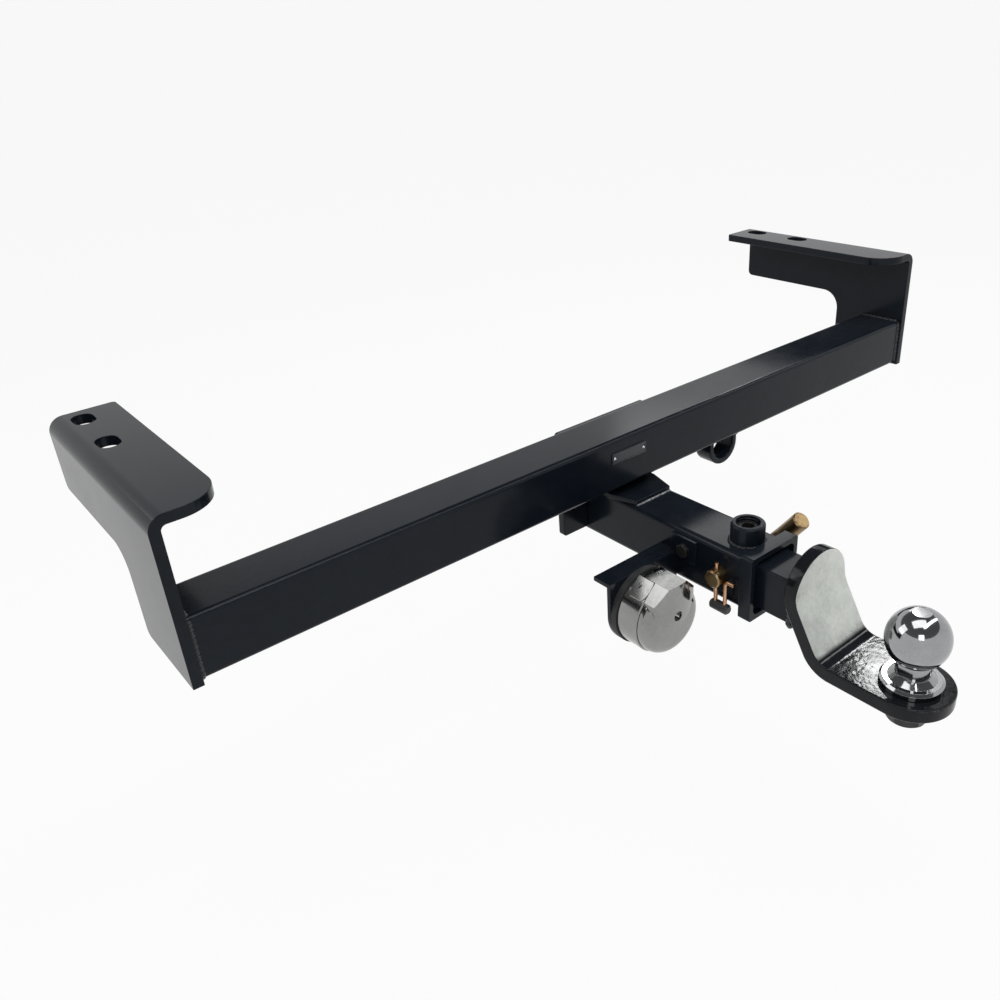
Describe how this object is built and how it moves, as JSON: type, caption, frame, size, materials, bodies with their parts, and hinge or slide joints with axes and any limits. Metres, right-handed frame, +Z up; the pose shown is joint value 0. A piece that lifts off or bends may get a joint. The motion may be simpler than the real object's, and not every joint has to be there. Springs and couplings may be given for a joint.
{
  "type": "trailer hitch",
  "caption": "Receiver tow hitch: square cross tube between folded chassis brackets, drop ball mount held by a clipped pin and a clamp screw, trailer socket with a sprung lid, chain loop.",
  "frame": {"origin": "middle of the four chassis slots, on the top face of the two bracket flanges", "axes": "+X along the cross tube, to the right for a viewer who looks forward from behind the vehicle; +Y forward, towards the vehicle; +Z up"},
  "size_m": [0.85, 0.5324, 0.2352],
  "materials": {
    "frame_paint": "gloss black enamel with a blue tint",
    "weld_paint": "gloss black enamel over rippled weld beads",
    "mount_paint": "gloss black enamel, bare bright metal on the plate's front face",
    "blank_plate": "satin dark plate, blank",
    "rivet_alloy": "bright rivet heads",
    "pad_brass": "turned brass",
    "black_steel": "blackened steel, oiled",
    "yellow_zinc": "yellow passivated zinc plate",
    "copper_wire": "copper-coloured spring wire",
    "grip_rubber": "moulded dark grip",
    "ball_chrome": "polished chrome",
    "bright_zinc": "bright zinc plate",
    "socket_chrome": "chrome over cast metal",
    "socket_rubber": "black rubber",
    "carrier_plastic": "black moulded plastic",
    "contact_brass": "turned brass tubes",
    "spring_steel": "drawn spring wire"
  },
  "bodies": {
    "hitch": {"cross_tube": "frame_paint", "left_bracket": "frame_paint", "right_bracket": "frame_paint", "saddle_plate": "frame_paint", "doubler_plate": "frame_paint", "receiver_tube": "frame_paint", "receiver_collar": "frame_paint", "weld_beads": "weld_paint", "nameplate": "blank_plate", "nameplate_rivets": "rivet_alloy", "chain_loop": "frame_paint", "clamp_boss": "frame_paint", "shank": "mount_paint", "tongue_plate": "mount_paint", "tow_ball": "ball_chrome", "ball_washer": "black_steel", "ball_nut": "black_steel", "socket_bracket": "frame_paint", "bracket_bolt": "black_steel", "socket_gasket": "socket_rubber", "socket_body": "socket_chrome", "contact_carrier": "carrier_plastic", "contact_pins": "contact_brass", "lid_hinge_pin": "bright_zinc", "lid_spring": "spring_steel", "socket_screws": "bright_zinc", "socket_nuts": "bright_zinc", "socket_boot": "socket_rubber"},
    "pad": {"clamp_pad": "pad_brass"},
    "screw": {"clamp_screw": "black_steel"},
    "pin": {"hitch_pin": "yellow_zinc"},
    "clip": {"pin_clip": "copper_wire", "clip_grip": "grip_rubber"},
    "lid": {"socket_lid": "socket_chrome", "lid_seal": "socket_rubber"}
  },
  "joints": [
    {"name": "clamp_lift", "type": "slide", "parent": "hitch", "child": "pad", "axis": [0, 0, 1], "range_m": [0, 0.004]},
    {"name": "clamp_turn", "type": "hinge", "parent": "pad", "child": "screw", "pos_m": [0, -0.29, -0.138], "axis": [0, 0, 1], "range_deg": [0, 577]},
    {"name": "pin_turn", "type": "hinge", "parent": "hitch", "child": "pin", "pos_m": [0, -0.284, -0.1685], "axis": [1, 0, 0], "range_deg": [-8, 45]},
    {"name": "clip_pull", "type": "slide", "parent": "pin", "child": "clip", "axis": [0, 0, -1], "range_m": [0, 0.024]},
    {"name": "lid_hinge", "type": "hinge", "parent": "hitch", "child": "lid", "pos_m": [-0.071, -0.25, -0.1665], "axis": [-1, 0, 0], "range_deg": [0, 100], "stiffness_Nm_per_rad": 0.05, "springref_deg": -34.38}
  ],
  "couplings": [
    {"joint": "clamp_turn", "follows": "clamp_lift", "rad_per_m": 2513.3}
  ]
}
